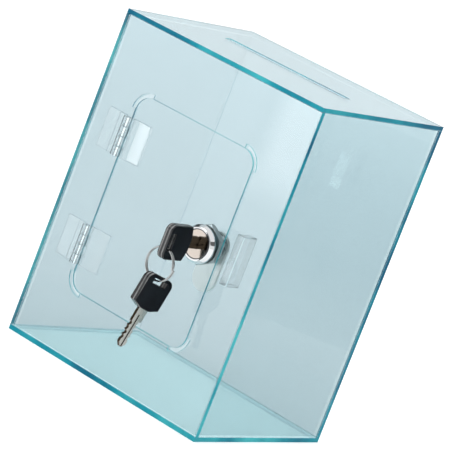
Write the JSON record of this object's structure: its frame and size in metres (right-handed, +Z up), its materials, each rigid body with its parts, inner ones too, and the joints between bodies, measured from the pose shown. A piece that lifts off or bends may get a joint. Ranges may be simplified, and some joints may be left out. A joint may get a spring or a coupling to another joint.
{
  "type": "donation box",
  "caption": "Clear acrylic donation box with a money slot in the top and a hinged front door held by a cam lock, with keys on a split ring.",
  "frame": {"origin": "bottom centre of the box, on the surface it stands on", "axes": "+Z up, -Y towards the front wall with the door, +X to the right seen from the front"},
  "size_m": [0.15, 0.1586, 0.2],
  "materials": {
    "clear_acrylic": "clear cast acrylic with a pale blue-green tint, polished",
    "clear_hinge": "clear moulded acrylic",
    "lock_chrome": "polished chrome plate",
    "lock_steel": "zinc-plated steel",
    "wafer_brass": "stamped brass",
    "key_nickel": "nickel plate with cut edges",
    "key_black": "satin moulded black plastic",
    "ring_steel": "nickel-plated spring wire"
  },
  "bodies": {
    "box": {"front_panel": "clear_acrylic", "back_panel": "clear_acrylic", "left_panel": "clear_acrylic", "right_panel": "clear_acrylic", "top_panel": "clear_acrylic", "bottom_panel": "clear_acrylic", "keeper_block": "clear_acrylic", "upper_hinge_frame_leaf": "clear_hinge", "lower_hinge_frame_leaf": "clear_hinge", "upper_hinge_pin": "clear_hinge", "lower_hinge_pin": "clear_hinge"},
    "door": {"door_panel": "clear_acrylic", "upper_hinge_door_leaf": "clear_hinge", "lower_hinge_door_leaf": "clear_hinge", "lock_body": "lock_chrome", "lock_nut": "lock_steel"},
    "lock_core": {"lock_plug": "lock_chrome", "wafer_tumblers": "wafer_brass", "cam_washer": "lock_steel", "cam": "lock_steel", "cam_screw": "lock_steel"},
    "key": {"key_blade": "key_nickel", "key_head": "key_black"},
    "ring": {"key_ring": "ring_steel"},
    "spare_key": {"spare_key_blade": "key_nickel", "spare_key_head": "key_black"}
  },
  "joints": [
    {"name": "door_swing", "type": "hinge", "parent": "box", "child": "door", "pos_m": [-0.045, -0.0631, 0.1], "axis": [0, 0, -1], "range_deg": [0, 180]},
    {"name": "lock_turn", "type": "hinge", "parent": "door", "child": "lock_core", "pos_m": [0.0305, -0.06, 0.1], "axis": [0, -1, 0], "range_deg": [0, 90]},
    {"name": "key_slide", "type": "slide", "parent": "lock_core", "child": "key", "axis": [0, -1, 0], "range_m": [0, 0.0162]},
    {"name": "ring_swing", "type": "hinge", "parent": "key", "child": "ring", "pos_m": [0.0305, -0.0884, 0.09613], "axis": [1, 0, 0], "range_deg": [-25, 25]},
    {"name": "spare_key_swing", "type": "hinge", "parent": "ring", "child": "spare_key", "pos_m": [0.0305, -0.08778, 0.07693], "axis": [1, 0, 0], "range_deg": [-25, 25]}
  ]
}
